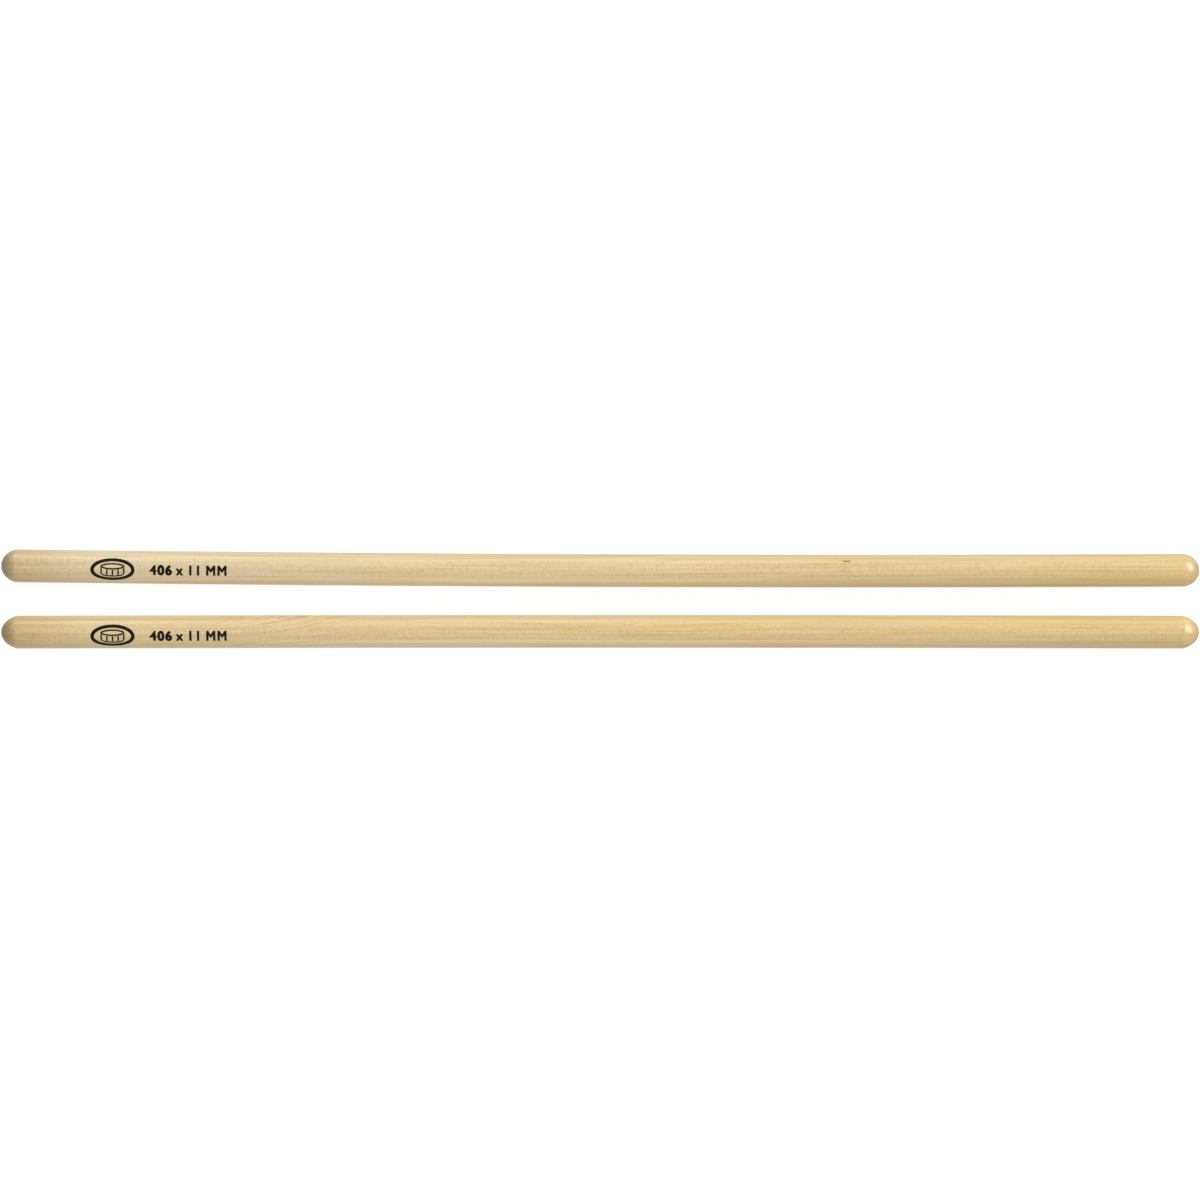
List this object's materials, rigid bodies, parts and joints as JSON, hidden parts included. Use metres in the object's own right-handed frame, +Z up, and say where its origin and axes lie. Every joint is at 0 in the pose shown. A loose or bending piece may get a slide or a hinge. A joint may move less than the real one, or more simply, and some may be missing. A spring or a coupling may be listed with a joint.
{
  "type": "timbale sticks",
  "caption": "Pair of straight round maple timbale sticks with domed ends, lying side by side; one stick slides towards or away from the other.",
  "frame": {"origin": "on the surface that the sticks lie on, under the middle of the pair's outline", "axes": "+X along the sticks, from the printed butt ends to the far ends; +Y from the front stick to the rear stick; +Z up"},
  "size_m": [0.4064, 0.0337, 0.0111],
  "materials": {
    "rear_maple": "pale hard maple, straight grain, clear satin lacquer, with a small black ink print near the butt",
    "front_maple": "warm hard maple, straight grain, clear satin lacquer, with a small black ink print near the butt",
    "print_ink": "thin black ink printed on the lacquered wood, slightly uneven, matt"
  },
  "bodies": {
    "rear_stick": {"rear_stick": "rear_maple"},
    "front_stick": {"front_stick": "front_maple"}
  },
  "joints": [
    {"name": "front_stick_draw_apart", "type": "slide", "parent": "rear_stick", "child": "front_stick", "axis": [0, -1, 0], "range_m": [-0.0091, 0.15]}
  ]
}
